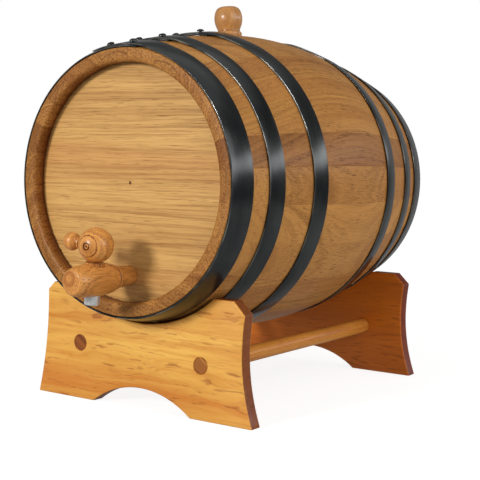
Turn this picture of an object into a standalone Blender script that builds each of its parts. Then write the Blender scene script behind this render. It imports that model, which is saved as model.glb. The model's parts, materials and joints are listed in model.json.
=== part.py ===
"""Small oak ageing barrel lying on a two-board cradle, with a wooden tap in its front head and a bung on top.

Metres, +Z up. The barrel's axis runs along Y and its front head faces -Y. The origin is the
centre of the object's footprint on the surface that it stands on.
"""
import math

import bmesh
import bpy
from mathutils import Matrix, Vector

GAP = 0.0003                    # clearance between touching pieces

# Barrel
BILGE_RADIUS = 0.135
CHIME_RADIUS = 0.1106
BARREL_LENGTH = 0.332
BEND = 0.6                      # how rounded the staves' bend is: a small value is a sharp bend
STAVE_COUNT = 26
STAVE_THICKNESS = 0.015
STAVE_VARIATION = 0.14          # how far a stave's width strays from the mean
CHIME_INNER_RADIUS = 0.0994
CHAMFER = 0.0008
CHIME_BEVEL = 0.0025            # along the inner edge of the chime
BARREL_TURN = math.radians(-4.5)    # the bung and the hoop joints sit a little to the left of the top

# Heads, set in a groove near each end
HEAD_DEPTH = 0.0124
HEAD_THICKNESS = 0.012
TONGUE_THICKNESS = 0.006
CROZE_DEPTH = 0.003
HEAD_SEAMS = (-0.028, 0.046)    # heights of the joints between a head's boards
CENTRE_MARK_RADIUS = 0.0013
CENTRE_MARK_DEPTH = 0.0015

# Hoops: (outer edge, inner edge), both as distances from mid-barrel
HOOP_EDGES = ((0.1655, 0.1431), (0.1253, 0.1081), (0.0728, 0.0545))
HOOP_THICKNESS = 0.0012
HOOP_SEGMENTS = 60
HOOP_CLEARANCE = 0.0005
OVERLAP_STEPS = 4
RIVET_ANGLE = math.radians(6.0)     # each side of the middle of the overlap
RIVET_SHANK_RADIUS = 0.0015
RIVET_HEAD_RADIUS = 0.0033
RIVET_HEAD_HEIGHT = 0.0021

# Bung
BUNG_HOLE_RADIUS = 0.0116
BUNG_TAPER = 0.0012
BUNG_DEPTH = 0.020

# Tap, in its own frame: d is the distance in front of the head's face
TAP_HEIGHT = -0.0773            # of the tap's axis, from the barrel's axis
TAP_TURN = math.radians(5.0)
TAP_REACH = 0.070
TAP_TAIL = 0.022
TAP_BORE_RADIUS = 0.0042
KEY_DISTANCE = 0.0440
PLUG_TOP_RADIUS = 0.0081
PLUG_BOTTOM_RADIUS = 0.0070
PLUG_TOP = 0.0143
PLUG_BOTTOM = -0.0080
PLUG_BORE_RADIUS = 0.0042
STEM_RADIUS = 0.0045
STEM_TOP = 0.0318
BALL_HEIGHT = 0.0282
BALL_RADIUS = 0.0144
KNOB_DISTANCE = 0.0232
KNOB_RADIUS = 0.0075
KNOB_NECK_RADIUS = 0.0042
HANDLE_TURN = math.radians(8.0)     # of the handle on its stem, which brings the knob a little to the front
KNOB_WAY = (-math.cos(HANDLE_TURN), -math.sin(HANDLE_TURN), 0.0)
PEG_WAY = (math.sin(HANDLE_TURN), -math.cos(HANDLE_TURN), 0.0)
PEG_RADIUS = 0.0024
PEG_LENGTH = 0.0090
SPOUT_RADIUS = 0.0063
SPOUT_BORE_RADIUS = 0.0046
SPOUT_END = -0.0202

# Cradle
AXIS_HEIGHT = 0.194
BOARD_THICKNESS = 0.0130
FRONT_BOARD_FACE = -0.1386      # from mid-barrel
REAR_BOARD_FACE = 0.1403
SHOULDER_HEIGHT = 0.102
# Side edges, as (distance from the middle of the board, height): shoulder, end of its chamfer, waist and foot
FRONT_LEFT_EDGE = ((0.1015, 0.1020), (0.1085, 0.0950), (0.1086, 0.0880), (0.1200, 0.0))
FRONT_RIGHT_EDGE = ((0.0965, 0.1020), (0.1074, 0.0910), (0.1049, 0.0600), (0.1160, 0.0))
REAR_EDGE = ((0.0985, 0.1020), (0.1096, 0.0915), (0.1070, 0.0600), (0.1182, 0.0))
ARCH_WIDTH = 0.0535
ARCH_HEIGHT = 0.0182
RAIL_RADIUS = 0.0072
RAIL_PLACES = (("left", -0.0690, 0.0502), ("right", 0.0643, 0.0459))    # the left one sits a little higher

HALF_LENGTH = BARREL_LENGTH / 2
HEAD_FACE = HALF_LENGTH - HEAD_DEPTH
BARREL_Y = (HEAD_FACE + TAP_REACH - HALF_LENGTH) / 2    # puts the origin mid-way along the object

OAK = (0.52, 0.30, 0.13)
HEAD_OAK = (0.62, 0.40, 0.20)
TAP_OAK = (0.48, 0.25, 0.10)
BUNG_WOOD = (0.55, 0.30, 0.12)
PINE = (0.80, 0.42, 0.12)
RAIL_PINE = (0.72, 0.33, 0.08)
BLACK_STEEL = (0.03, 0.035, 0.04)
BRIGHT_STEEL = (0.62, 0.63, 0.65)


# ---------------------------------------------------------------- helpers

def clear_scene():
    """Removes every object that the file opened with."""
    for thing in list(bpy.data.objects):
        bpy.data.objects.remove(thing, do_unlink=True)


def make_material(name, colour, roughness, metallic=0.0):
    """A Principled material of one colour."""
    material = bpy.data.materials.new(name)
    material.use_nodes = True
    shader = material.node_tree.nodes["Principled BSDF"]
    shader.inputs["Base Color"].default_value = (*colour, 1.0)
    shader.inputs["Roughness"].default_value = roughness
    shader.inputs["Metallic"].default_value = metallic
    material.diffuse_color = (*colour, 1.0)
    return material


def add_frame(name, location, rotation=(0.0, 0.0, 0.0)):
    """An empty that the pieces built round one point hang from."""
    frame = bpy.data.objects.new(name, None)
    frame.location = location
    frame.rotation_euler = rotation
    bpy.context.scene.collection.objects.link(frame)
    return frame


def add_piece(name, mesh, material, frame, smooth=math.radians(35)):
    """Links one named piece, shaded smooth except across its sharp edges."""
    piece = bpy.data.objects.new(name, mesh)
    piece.parent = frame
    bpy.context.scene.collection.objects.link(piece)
    if material:
        mesh.materials.append(material)
    mesh.shade_smooth()
    mesh.set_sharp_from_angle(angle=smooth)
    return piece


def add_cutter(name, mesh, frame):
    """A hidden tool solid for Boolean cuts."""
    cutter = add_piece(name, mesh, None, frame)
    cutter.hide_render = True
    cutter.display_type = "WIRE"
    return cutter


def cut(piece, cutter, operation="DIFFERENCE"):
    """Boolean modifier that stays on the piece."""
    modifier = piece.modifiers.new(cutter.name, "BOOLEAN")
    modifier.operation = operation
    modifier.solver = "EXACT"
    modifier.object = cutter


def rings_to_mesh(name, rings, closed):
    """Skins rings of equal length. Closed joins the last ring to the first; otherwise both ends are capped."""
    shape = bmesh.new()
    rows = [[shape.verts.new(point) for point in ring] for ring in rings]
    count = len(rows[0])
    pairs = list(zip(rows, rows[1:]))
    if closed:
        pairs.append((rows[-1], rows[0]))
    for row, following in pairs:
        for i in range(count):
            j = (i + 1) % count
            shape.faces.new((row[i], row[j], following[j], following[i]))
    if not closed:
        shape.faces.new(rows[0])
        shape.faces.new(rows[-1])
    bmesh.ops.recalc_face_normals(shape, faces=shape.faces)
    mesh = bpy.data.meshes.new(name)
    shape.to_mesh(mesh)
    shape.free()
    return mesh


def lathe(name, profile, segments):
    """Solid turned about Z from (radius, height) points. An end on the axis closes to a point, others get a cap."""
    shape = bmesh.new()
    rows = []
    for radius, height in profile:
        if radius == 0:
            rows.append([shape.verts.new((0, 0, height))])
            continue
        turn = [2 * math.pi * i / segments for i in range(segments)]
        rows.append([shape.verts.new((radius * math.cos(a), radius * math.sin(a), height)) for a in turn])
    for row, following in zip(rows, rows[1:]):
        for i in range(segments):
            j = (i + 1) % segments
            corners = [row[i % len(row)], row[j % len(row)], following[j % len(following)],
                       following[i % len(following)]]
            shape.faces.new(list(dict.fromkeys(corners)))
    for row in (rows[0], rows[-1]):
        if len(row) > 1:
            shape.faces.new(row)
    bmesh.ops.recalc_face_normals(shape, faces=shape.faces)
    mesh = bpy.data.meshes.new(name)
    shape.to_mesh(mesh)
    shape.free()
    return mesh


def tube(name, outer_profile, bore_radius, segments):
    """Turned ring about Z: the outer profile, closed by a straight bore of one radius."""
    section = list(outer_profile)
    section += [(bore_radius, outer_profile[-1][1]), (bore_radius, outer_profile[0][1])]
    rings = []
    for i in range(segments):
        a = 2 * math.pi * i / segments
        rings.append([(radius * math.cos(a), radius * math.sin(a), height) for radius, height in section])
    return rings_to_mesh(name, rings, closed=True)


def prism(name, outline, low, high):
    """Closed outline of (x, z) points extruded along Y from low to high."""
    rings = [[(x, y, z) for x, z in outline] for y in (low, high)]
    return rings_to_mesh(name, rings, closed=False)


def box(name, low, high):
    """Axis-aligned block between two corners."""
    (x0, y0, z0), (x1, y1, z1) = low, high
    return prism(name, ((x0, z0), (x1, z0), (x1, z1), (x0, z1)), y0, y1)


def cylinder(name, radius, low, high, segments=32, end_radius=None):
    """Straight or tapered round bar along Z."""
    return lathe(name, ((radius, low), (radius if end_radius is None else end_radius, high)), segments)


def turned_to(direction, location):
    """Matrix that lays a shape turned about Z along a direction, at a place."""
    return Matrix.Translation(location) @ Vector(direction).to_track_quat("Z", "Y").to_matrix().to_4x4()


def arc(centre, radius, start, end, steps):
    """Points on a circle in the XZ plane, from one angle to another."""
    points = []
    for i in range(steps + 1):
        a = start + (end - start) * i / steps
        points.append((centre[0] + radius * math.cos(a), centre[1] + radius * math.sin(a)))
    return points


# ---------------------------------------------------------------- barrel

def outer_radius(y):
    """The barrel's outer radius at a distance from mid-barrel: a bend that is tightest at the bilge."""
    reach = y / HALF_LENGTH
    share = (math.hypot(reach, BEND) - BEND) / (math.hypot(1, BEND) - BEND)
    return BILGE_RADIUS - (BILGE_RADIUS - CHIME_RADIUS) * share


def outer_slope(y):
    """How fast the outer radius changes along the barrel."""
    step = 0.0005
    return (outer_radius(y + step) - outer_radius(y - step)) / (2 * step)


def around(radius, angle, y):
    """Point at an angle from the top of the barrel, clockwise as seen from the front."""
    return (radius * math.sin(angle), y, radius * math.cos(angle))


def stave_section():
    """Outline of a stave in (y, radius): outer curve, chime, croze grooves and inner curve."""
    outer = [(HALF_LENGTH * i / 5, outer_radius(HALF_LENGTH * i / 5)) for i in range(-5, 6)]
    first_y, first_radius = outer[0]
    last_y, last_radius = outer[-1]
    outer[0] = (first_y, first_radius - CHAMFER)
    outer.insert(1, (first_y + CHAMFER, first_radius))
    outer[-1] = (last_y - CHAMFER, last_radius)
    outer.append((last_y, last_radius - CHAMFER))
    croze_near = HEAD_FACE + GAP
    croze_far = HEAD_FACE - TONGUE_THICKNESS - GAP
    groove = CHIME_INNER_RADIUS + CROZE_DEPTH
    end = [(HALF_LENGTH, CHIME_INNER_RADIUS + CHIME_BEVEL), (HALF_LENGTH - CHIME_BEVEL, CHIME_INNER_RADIUS),
           (croze_near, CHIME_INNER_RADIUS), (croze_near, groove), (croze_far, groove),
           (croze_far, outer_radius(croze_far) - STAVE_THICKNESS)]
    middle = [HALF_LENGTH * 0.23 * i for i in range(3, -4, -1)]
    inner = [(y, outer_radius(y) - STAVE_THICKNESS) for y in middle]
    return outer + end + inner + [(-y, radius) for y, radius in reversed(end)]


def stave_angles():
    """Start and end angle of each stave. Widths stray from the mean, as cleft staves do."""
    shares = [1 + STAVE_VARIATION * math.sin(0.66 * i + 1.7) for i in range(STAVE_COUNT)]
    unit = 2 * math.pi / sum(shares)
    angle = -shares[0] * unit / 2
    spans = []
    for share in shares:
        spans.append((angle, angle + share * unit))
        angle += share * unit
    return spans


def stave_mesh(name, start, end):
    """One stave, a little narrower than its share of the circle."""
    half_gap = GAP / 2 / BILGE_RADIUS
    start += half_gap
    end -= half_gap
    rings = []
    for i in range(3):
        angle = start + (end - start) * i / 2
        rings.append([around(radius, angle, y) for y, radius in stave_section()])
    return rings_to_mesh(name, rings, closed=False)


def make_staves(frame, oak):
    """All the staves. The first one is at the top and has the bung hole."""
    for i, (start, end) in enumerate(stave_angles()):
        if i == 0:
            top = add_piece("bung_stave", stave_mesh("bung_stave", start, end), oak, frame)
            inner = BILGE_RADIUS - 2 * STAVE_THICKNESS
            outer = BILGE_RADIUS + 0.01
            slope = BUNG_TAPER / BUNG_DEPTH
            shape = cylinder("bung_hole_cutter", BUNG_HOLE_RADIUS + GAP - slope * (BILGE_RADIUS - inner), inner,
                             outer, 32, BUNG_HOLE_RADIUS + GAP + slope * (outer - BILGE_RADIUS))
            cut(top, add_cutter("bung_hole_cutter", shape, frame))
        else:
            name = f"stave_{i:02d}"
            add_piece(name, stave_mesh(name, start, end), oak, frame)


def make_bung(frame, wood):
    """Turned bung: tapered plug, collar, neck and a rounded head."""
    seat = BILGE_RADIUS
    profile = [(0, seat - BUNG_DEPTH), (BUNG_HOLE_RADIUS - BUNG_TAPER, seat - BUNG_DEPTH), (BUNG_HOLE_RADIUS, seat),
               (0.0118, seat + 0.0040), (0.0112, seat + 0.0056), (0.0100, seat + 0.0062), (0.0106, seat + 0.0074)]
    for height, radius in ((0.0115, 0.0124), (0.0160, 0.0132), (0.0200, 0.0131), (0.0245, 0.0118), (0.0275, 0.0098)):
        profile.append((radius, seat + height))
    profile += [(0.0078, seat + 0.0288), (0, seat + 0.0290)]
    add_piece("bung", lathe("bung", profile, 28), wood, frame)


# ---------------------------------------------------------------- heads

def head_mesh(name, side):
    """Whole round head, turned about the barrel's axis: flat face outside, bevelled to a tongue inside."""
    tongue = CHIME_INNER_RADIUS + CROZE_DEPTH - GAP
    clear = CHIME_INNER_RADIUS - 0.001
    profile = ((tongue, 0), (tongue, -TONGUE_THICKNESS), (clear, -TONGUE_THICKNESS),
               (clear - HEAD_THICKNESS + TONGUE_THICKNESS, -HEAD_THICKNESS))
    mesh = lathe(name, profile, 64)
    mesh.transform(turned_to((0, side, 0), (0, side * HEAD_FACE, 0)))
    return mesh


def make_head(frame, oak, end_name, side):
    """One head, parted into its boards at the seams. Returns the board that the tap goes through."""
    edges = [-2 * CHIME_RADIUS, *HEAD_SEAMS, 2 * CHIME_RADIUS]
    boards = []
    for i, place in enumerate(("lower", "middle", "upper")):
        name = f"{end_name}_head_{place}"
        board = add_piece(name, head_mesh(name, side), oak, frame)
        low = (-CHIME_RADIUS, -HALF_LENGTH, edges[i] + GAP / 2)
        high = (CHIME_RADIUS, HALF_LENGTH, edges[i + 1] - GAP / 2)
        cut(board, add_cutter(f"{name}_band", box(f"{name}_band", low, high), frame), "INTERSECT")
        boards.append(board)
    return boards


def mark_centre(board, frame):
    """The small centre hole that the lathe left in the front head."""
    shape = cylinder("centre_mark_cutter", CENTRE_MARK_RADIUS, -0.01, CENTRE_MARK_DEPTH, 12)
    shape.transform(turned_to((0, 1, 0), (0, -HEAD_FACE, 0)))
    cut(board, add_cutter("centre_mark_cutter", shape, frame))


# ---------------------------------------------------------------- hoops

def hoop_mesh(name, edge_low, edge_high):
    """Steel band whose second end lies over its first, centred on the top of the barrel. The outer end is on the left."""
    step = -2 * math.pi / HOOP_SEGMENTS
    start = -OVERLAP_STEPS * step / 2
    rings = []
    for i in range(HOOP_SEGMENTS + OVERLAP_STEPS + 1):
        angle = start + i * step
        climb = min(max((i - HOOP_SEGMENTS + 3) / 2, 0), 1)
        rise = HOOP_CLEARANCE + climb * (HOOP_THICKNESS + GAP)
        inner = [(edge_low, outer_radius(edge_low) + rise), (edge_high, outer_radius(edge_high) + rise)]
        outer = [(y, radius + HOOP_THICKNESS) for y, radius in reversed(inner)]
        rings.append([around(radius, angle, y) for y, radius in inner + outer])
    return rings_to_mesh(name, rings, closed=False)


def rivet_place(y, angle):
    """Matrix of a rivet that stands square on a hoop, with Z outward from the stave's surface."""
    slope = outer_slope(y)
    outward = Vector((math.sin(angle), -slope, math.cos(angle)))
    return turned_to(outward, around(outer_radius(y), angle, y))


def rivet_mesh(name):
    """Domed head on a shank that goes through both layers of the hoop."""
    seat = HOOP_CLEARANCE + 2 * (HOOP_THICKNESS + GAP)
    profile = [(0, HOOP_CLEARANCE), (RIVET_SHANK_RADIUS, HOOP_CLEARANCE), (RIVET_SHANK_RADIUS, seat),
               (RIVET_HEAD_RADIUS, seat)]
    for share in (0.4, 0.75):
        profile.append((RIVET_HEAD_RADIUS * math.sqrt(1 - share * share), seat + RIVET_HEAD_HEIGHT * share))
    profile.append((0, seat + RIVET_HEAD_HEIGHT))
    return lathe(name, profile, 12)


def make_hoop(frame, steel, name, edge_low, edge_high):
    """One hoop and its two rivets."""
    hoop = add_piece(f"{name}_hoop", hoop_mesh(f"{name}_hoop", edge_low, edge_high), steel, frame)
    middle = (edge_low + edge_high) / 2
    for side, angle in (("left", -RIVET_ANGLE), ("right", RIVET_ANGLE)):
        place = rivet_place(middle, angle)
        rivet = add_piece(f"{name}_rivet_{side}", rivet_mesh(f"{name}_rivet_{side}"), steel, frame)
        rivet.matrix_local = place
        cutter_name = f"{name}_rivet_hole_{side}"
        shape = cylinder(cutter_name, RIVET_SHANK_RADIUS + GAP, -0.002, 0.006, 12)
        cutter = add_cutter(cutter_name, shape, frame)
        cutter.matrix_local = place
        cut(hoop, cutter)


def make_hoops(frame, steel):
    """Chime, quarter and bilge hoop on each half of the barrel."""
    for kind, (outer_edge, inner_edge) in zip(("chime", "quarter", "bilge"), HOOP_EDGES):
        make_hoop(frame, steel, f"front_{kind}", -outer_edge, -inner_edge)
        make_hoop(frame, steel, f"rear_{kind}", inner_edge, outer_edge)


# ---------------------------------------------------------------- tap

def tap_shank_radius(d):
    """The tapered tail's radius at a distance in front of the head's face."""
    return 0.0083 + 0.045 * d


def make_tap_body(frame, wood):
    """Turned body on a tapered tail, bored along its length and across for the plug and the spout."""
    profile = [(tap_shank_radius(-TAP_TAIL), -TAP_TAIL), (tap_shank_radius(0.0180), 0.0180), (0.0103, 0.0192),
               (0.0104, 0.0212), (0.0097, 0.0220), (0.0110, 0.0228), (0.0120, 0.0260)]
    for d, radius in ((0.031, 0.0130), (0.038, 0.0136), (0.046, 0.0137), (0.054, 0.0134), (0.061, 0.0126)):
        profile.append((radius, d))
    profile += [(0.0116, 0.0660), (0.0104, 0.0688), (0.0085, 0.0699), (0, TAP_REACH)]
    shape = lathe("tap_body", profile, 28)
    shape.transform(turned_to((0, -1, 0), (0, 0, 0)))
    body = add_piece("tap_body", shape, wood, frame)
    bore = cylinder("tap_bore_cutter", TAP_BORE_RADIUS, -TAP_TAIL - 0.01, KEY_DISTANCE, 20)
    bore.transform(turned_to((0, -1, 0), (0, 0, 0)))
    cut(body, add_cutter("tap_bore_cutter", bore, frame))
    slope = (PLUG_TOP_RADIUS - PLUG_BOTTOM_RADIUS) / (PLUG_TOP - PLUG_BOTTOM)
    low = PLUG_BOTTOM - GAP
    high = PLUG_TOP + 0.004
    socket = cylinder("plug_socket_cutter", PLUG_BOTTOM_RADIUS + GAP, low, high, 28,
                      PLUG_BOTTOM_RADIUS + GAP + slope * (high - low))
    socket.transform(Matrix.Translation((0, -KEY_DISTANCE, 0)))
    cut(body, add_cutter("plug_socket_cutter", socket, frame))
    outlet = cylinder("spout_socket_cutter", SPOUT_RADIUS + GAP, -0.03, 0, 28)
    outlet.transform(Matrix.Translation((0, -KEY_DISTANCE, 0)))
    cut(body, add_cutter("spout_socket_cutter", outlet, frame))


def make_tap_plug(frame, wood):
    """Tapered plug with a stem for the handle. Its side port leads down through its open end.

    The tap is open: the port faces the barrel until the key is turned a quarter turn.
    """
    profile = ((PLUG_BOTTOM_RADIUS, PLUG_BOTTOM), (PLUG_TOP_RADIUS, PLUG_TOP), (STEM_RADIUS, PLUG_TOP),
               (STEM_RADIUS, STEM_TOP))
    plug = add_piece("tap_plug", lathe("tap_plug", profile, 28), wood, frame)
    down = cylinder("plug_bore_cutter", PLUG_BORE_RADIUS, -0.02, PLUG_BORE_RADIUS, 20)
    cut(plug, add_cutter("plug_bore_cutter", down, frame))
    port = cylinder("plug_port_cutter", TAP_BORE_RADIUS, 0, 0.02, 20)
    port.transform(turned_to((0, 1, 0), (0, 0, 0)))
    cut(plug, add_cutter("plug_port_cutter", port, frame))


def handle_profile():
    """Ball, neck and small end knob, as (radius, distance towards the knob)."""
    profile = [(0, -BALL_RADIUS)]
    neck_angle = math.pi - math.asin(KNOB_NECK_RADIUS / BALL_RADIUS)
    for i in range(1, 11):
        a = neck_angle * i / 10
        profile.append((BALL_RADIUS * math.sin(a), -BALL_RADIUS * math.cos(a)))
    first = math.asin(KNOB_NECK_RADIUS / KNOB_RADIUS)
    for i in range(7):
        a = first + (math.pi - first) * i / 6
        radius = 0 if i == 6 else KNOB_RADIUS * math.sin(a)
        profile.append((radius, KNOB_DISTANCE - KNOB_RADIUS * math.cos(a)))
    return profile


def make_tap_handle(frame, wood):
    """Turned handle with a socket for the plug's stem and a hole for the peg."""
    shape = lathe("tap_handle", handle_profile(), 24)
    shape.transform(turned_to(KNOB_WAY, (0, 0, BALL_HEIGHT)))
    handle = add_piece("tap_handle", shape, wood, frame)
    socket = cylinder("stem_socket_cutter", STEM_RADIUS + GAP, 0, STEM_TOP + GAP, 24)
    cut(handle, add_cutter("stem_socket_cutter", socket, frame))
    hole = cylinder("peg_hole_cutter", PEG_RADIUS + GAP, BALL_RADIUS - PEG_LENGTH - GAP, BALL_RADIUS + 0.01, 16)
    hole.transform(turned_to(PEG_WAY, (0, 0, BALL_HEIGHT)))
    cut(handle, add_cutter("peg_hole_cutter", hole, frame))


def make_tap_peg(frame, wood):
    """Small wooden peg in the handle's front, against the stem."""
    shape = cylinder("tap_peg", PEG_RADIUS, BALL_RADIUS - PEG_LENGTH, BALL_RADIUS - GAP, 16)
    shape.transform(turned_to(PEG_WAY, (0, 0, BALL_HEIGHT)))
    add_piece("tap_peg", shape, wood, frame)


def make_spout(frame, steel):
    """Short steel tube pressed into the body under the plug."""
    top = PLUG_BOTTOM - 2 * GAP
    profile = ((SPOUT_RADIUS, top), (SPOUT_RADIUS, SPOUT_END + 0.0006), (SPOUT_RADIUS - 0.0006, SPOUT_END))
    shape = tube("tap_spout", profile, SPOUT_BORE_RADIUS, 24)
    shape.transform(Matrix.Translation((0, -KEY_DISTANCE, 0)))
    add_piece("tap_spout", shape, steel, frame)


def drill_for_tap(board, frame):
    """Tapered hole through the front head for the tap's tail."""
    low = -HEAD_THICKNESS - 0.004
    high = 0.004
    hole = cylinder("tap_hole_cutter", tap_shank_radius(low) + GAP, low, high, 28, tap_shank_radius(high) + GAP)
    hole.transform(turned_to((0, -1, 0), (0, 0, 0)))
    cut(board, add_cutter("tap_hole_cutter", hole, frame))


# ---------------------------------------------------------------- cradle

def side_outline(edge):
    """One side edge of a board: shoulder, chamfer, then a waisted curve down to the foot."""
    shoulder, (top_x, top_z), (waist_x, waist_z), (foot_x, _) = edge
    points = [shoulder]
    for i in range(5):
        z = top_z - (top_z - waist_z) * i / 4
        points.append((waist_x + (top_x - waist_x) * ((z - waist_z) / (top_z - waist_z)) ** 2, z))
    for i in range(1, 7):
        z = waist_z * (1 - i / 6)
        points.append((waist_x + (foot_x - waist_x) * (1 - z / waist_z) ** 2, z))
    return points


def board_outline(saddle_radius, left_edge, right_edge):
    """Closed outline of a cradle board, in (x, z)."""
    saddle_end = math.asin((AXIS_HEIGHT - SHOULDER_HEIGHT) / saddle_radius)
    saddle = arc((0, AXIS_HEIGHT), saddle_radius, -math.pi + saddle_end, -saddle_end, 28)
    arch_radius = (ARCH_WIDTH ** 2 + ARCH_HEIGHT ** 2) / (2 * ARCH_HEIGHT)
    arch_centre = (0, ARCH_HEIGHT - arch_radius)
    spread = math.asin(ARCH_WIDTH / arch_radius)
    under = arc(arch_centre, arch_radius, math.pi / 2 - spread, math.pi / 2 + spread, 18)
    left = [(-x, z) for x, z in reversed(side_outline(left_edge))]
    return saddle + side_outline(right_edge) + under + left


def make_board(frame, pine, name, face, outline):
    """One upright board with holes for the two rails."""
    mesh = prism(name, outline, face, face + BOARD_THICKNESS)
    board = add_piece(name, mesh, pine, frame)
    for side, x, z in RAIL_PLACES:
        cutter_name = f"{name}_hole_{side}"
        shape = cylinder(cutter_name, RAIL_RADIUS + GAP, face - 0.01, face + BOARD_THICKNESS + 0.01, 24)
        shape.transform(turned_to((0, 1, 0), (x, 0, z)))
        cut(board, add_cutter(cutter_name, shape, frame))


def make_rail(frame, pine, name, x, z):
    """Round rail whose ends are flush with the boards' outer faces."""
    shape = cylinder(name, RAIL_RADIUS, FRONT_BOARD_FACE, REAR_BOARD_FACE + BOARD_THICKNESS, 24)
    shape.transform(turned_to((0, 1, 0), (x, 0, z)))
    add_piece(name, shape, pine, frame)


def make_cradle(frame, pine, rail_pine):
    """Two boards and two rails. Each saddle is cut to the barrel where it carries it."""
    front_contact = outer_radius(FRONT_BOARD_FACE + BOARD_THICKNESS)
    rear_contact = outer_radius(HOOP_EDGES[0][1]) + HOOP_CLEARANCE + HOOP_THICKNESS
    front = board_outline(front_contact + GAP, FRONT_LEFT_EDGE, FRONT_RIGHT_EDGE)
    make_board(frame, pine, "front_board", FRONT_BOARD_FACE, front)
    rear = board_outline(rear_contact + GAP, REAR_EDGE, REAR_EDGE)
    make_board(frame, pine, "rear_board", REAR_BOARD_FACE, rear)
    for side, x, z in RAIL_PLACES:
        make_rail(frame, rail_pine, f"{side}_rail", x, z)


# ---------------------------------------------------------------- assembly

def build():
    """Makes every piece in its place."""
    clear_scene()
    oak = make_material("stave_oak", OAK, 0.5)
    head_oak = make_material("head_oak", HEAD_OAK, 0.5)
    tap_oak = make_material("tap_oak", TAP_OAK, 0.4)
    bung_wood = make_material("bung_wood", BUNG_WOOD, 0.35)
    pine = make_material("board_pine", PINE, 0.45)
    rail_pine = make_material("rail_pine", RAIL_PINE, 0.45)
    black = make_material("black_steel", BLACK_STEEL, 0.45, 0.6)
    bright = make_material("bright_steel", BRIGHT_STEEL, 0.3, 1.0)

    barrel = add_frame("barrel_frame", (0, BARREL_Y, AXIS_HEIGHT), (0, BARREL_TURN, 0))
    make_staves(barrel, oak)
    make_bung(barrel, bung_wood)
    make_hoops(barrel, black)

    heads = add_frame("head_frame", (0, BARREL_Y, AXIS_HEIGHT))
    lower, middle, _ = make_head(heads, head_oak, "front", -1)
    make_head(heads, head_oak, "rear", 1)
    mark_centre(middle, heads)

    head_face_y = BARREL_Y - HEAD_FACE
    tap = add_frame("tap_frame", (0, head_face_y, AXIS_HEIGHT + TAP_HEIGHT), (0, TAP_TURN, 0))
    drill_for_tap(lower, tap)
    make_tap_body(tap, tap_oak)
    make_spout(tap, bright)
    key = add_frame("key_frame", (0, head_face_y - KEY_DISTANCE, AXIS_HEIGHT + TAP_HEIGHT), (0, TAP_TURN, 0))
    make_tap_plug(key, tap_oak)
    make_tap_handle(key, tap_oak)
    make_tap_peg(key, tap_oak)

    cradle = add_frame("cradle_frame", (0, BARREL_Y, 0))
    make_cradle(cradle, pine, rail_pine)


build()
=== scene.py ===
"""Looks of a small oak barrel on its cradle: fine meshes, wood and steel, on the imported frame."""
import json
import math
import random

import bmesh
import bpy
from mathutils import Matrix, Vector


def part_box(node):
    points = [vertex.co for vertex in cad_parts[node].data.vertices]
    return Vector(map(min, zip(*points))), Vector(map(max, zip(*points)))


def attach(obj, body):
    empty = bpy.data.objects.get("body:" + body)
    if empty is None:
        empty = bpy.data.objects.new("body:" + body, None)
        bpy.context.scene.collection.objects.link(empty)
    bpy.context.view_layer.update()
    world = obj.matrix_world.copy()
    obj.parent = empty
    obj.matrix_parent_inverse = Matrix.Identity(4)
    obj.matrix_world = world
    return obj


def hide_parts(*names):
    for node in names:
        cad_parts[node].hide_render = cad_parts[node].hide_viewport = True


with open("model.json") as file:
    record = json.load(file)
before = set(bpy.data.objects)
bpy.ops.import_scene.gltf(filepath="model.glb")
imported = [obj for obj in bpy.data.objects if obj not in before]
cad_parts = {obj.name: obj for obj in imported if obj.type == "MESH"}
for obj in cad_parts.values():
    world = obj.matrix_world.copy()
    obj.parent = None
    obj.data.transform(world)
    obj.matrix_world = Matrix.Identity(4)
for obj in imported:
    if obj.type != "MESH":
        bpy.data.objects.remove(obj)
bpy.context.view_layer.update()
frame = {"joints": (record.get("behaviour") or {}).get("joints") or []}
JOINTS = {joint["name"]: joint for joint in frame["joints"]}

# -------------------------------- places and sizes, from the frame
TAP_DROP = 0.0773                   # of the tap's axis below the barrel's axis
HEAD_DEPTH = 0.0124
KEY_POINT = Vector(JOINTS["key_turn"]["pos_m"])
KEY_AXIS = Vector(JOINTS["key_turn"]["axis"]).normalized()
BUNG_AXIS = Vector(JOINTS["bung_pull"]["axis"]).normalized()
STAVE_LOW, STAVE_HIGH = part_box("stave_13")
HALF_LENGTH = (STAVE_HIGH.y - STAVE_LOW.y) / 2
BARREL_CENTRE = Vector((0, (STAVE_HIGH.y + STAVE_LOW.y) / 2, KEY_POINT.z + TAP_DROP))
BARREL_TURN = math.atan2(BUNG_AXIS.x, BUNG_AXIS.z)
TAP_TURN = math.atan2(KEY_AXIS.x, KEY_AXIS.z)
HEAD_FACE = HALF_LENGTH - HEAD_DEPTH
KEY_DISTANCE = BARREL_CENTRE.y - HEAD_FACE - KEY_POINT.y

# -------------------------------- barrel dimensions
GAP = 0.0003
SEAM = 0.00005                      # left between two boards that are pressed together
BILGE_RADIUS = 0.135
CHIME_RADIUS = 0.1106
BEND = 0.6
STAVE_COUNT = 26
STAVE_THICKNESS = 0.015
STAVE_VARIATION = 0.14
CHIME_INNER_RADIUS = 0.0994
CHIME_ROUNDING = 0.0032
CROZE_DEPTH = 0.003
TONGUE_THICKNESS = 0.006
HEAD_THICKNESS = 0.012
HEAD_SEAMS = (-0.028, 0.046)
HEAD_FACE_EASING = 0.0001
HEAD_PITH_DROP = 0.16               # below the head's middle
HOOP_EDGES = ((0.1655, 0.1431), (0.1253, 0.1081), (0.0728, 0.0545))
HOOP_THICKNESS = 0.0012
HOOP_CLEARANCE = 0.0005
HOOP_EDGE_ROUNDING = 0.00038
LAP_ANGLE = math.radians(24)
CLIMB_ANGLE = math.radians(12)      # over which a hoop's end climbs onto its start
CLIMB_MARGIN = math.radians(1)
RIVET_ANGLE = math.radians(6)
RIVET_SHANK_RADIUS = 0.0015
RIVET_HOLE_RADIUS = 0.00165
RIVET_HEAD_RADIUS = 0.0033
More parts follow.
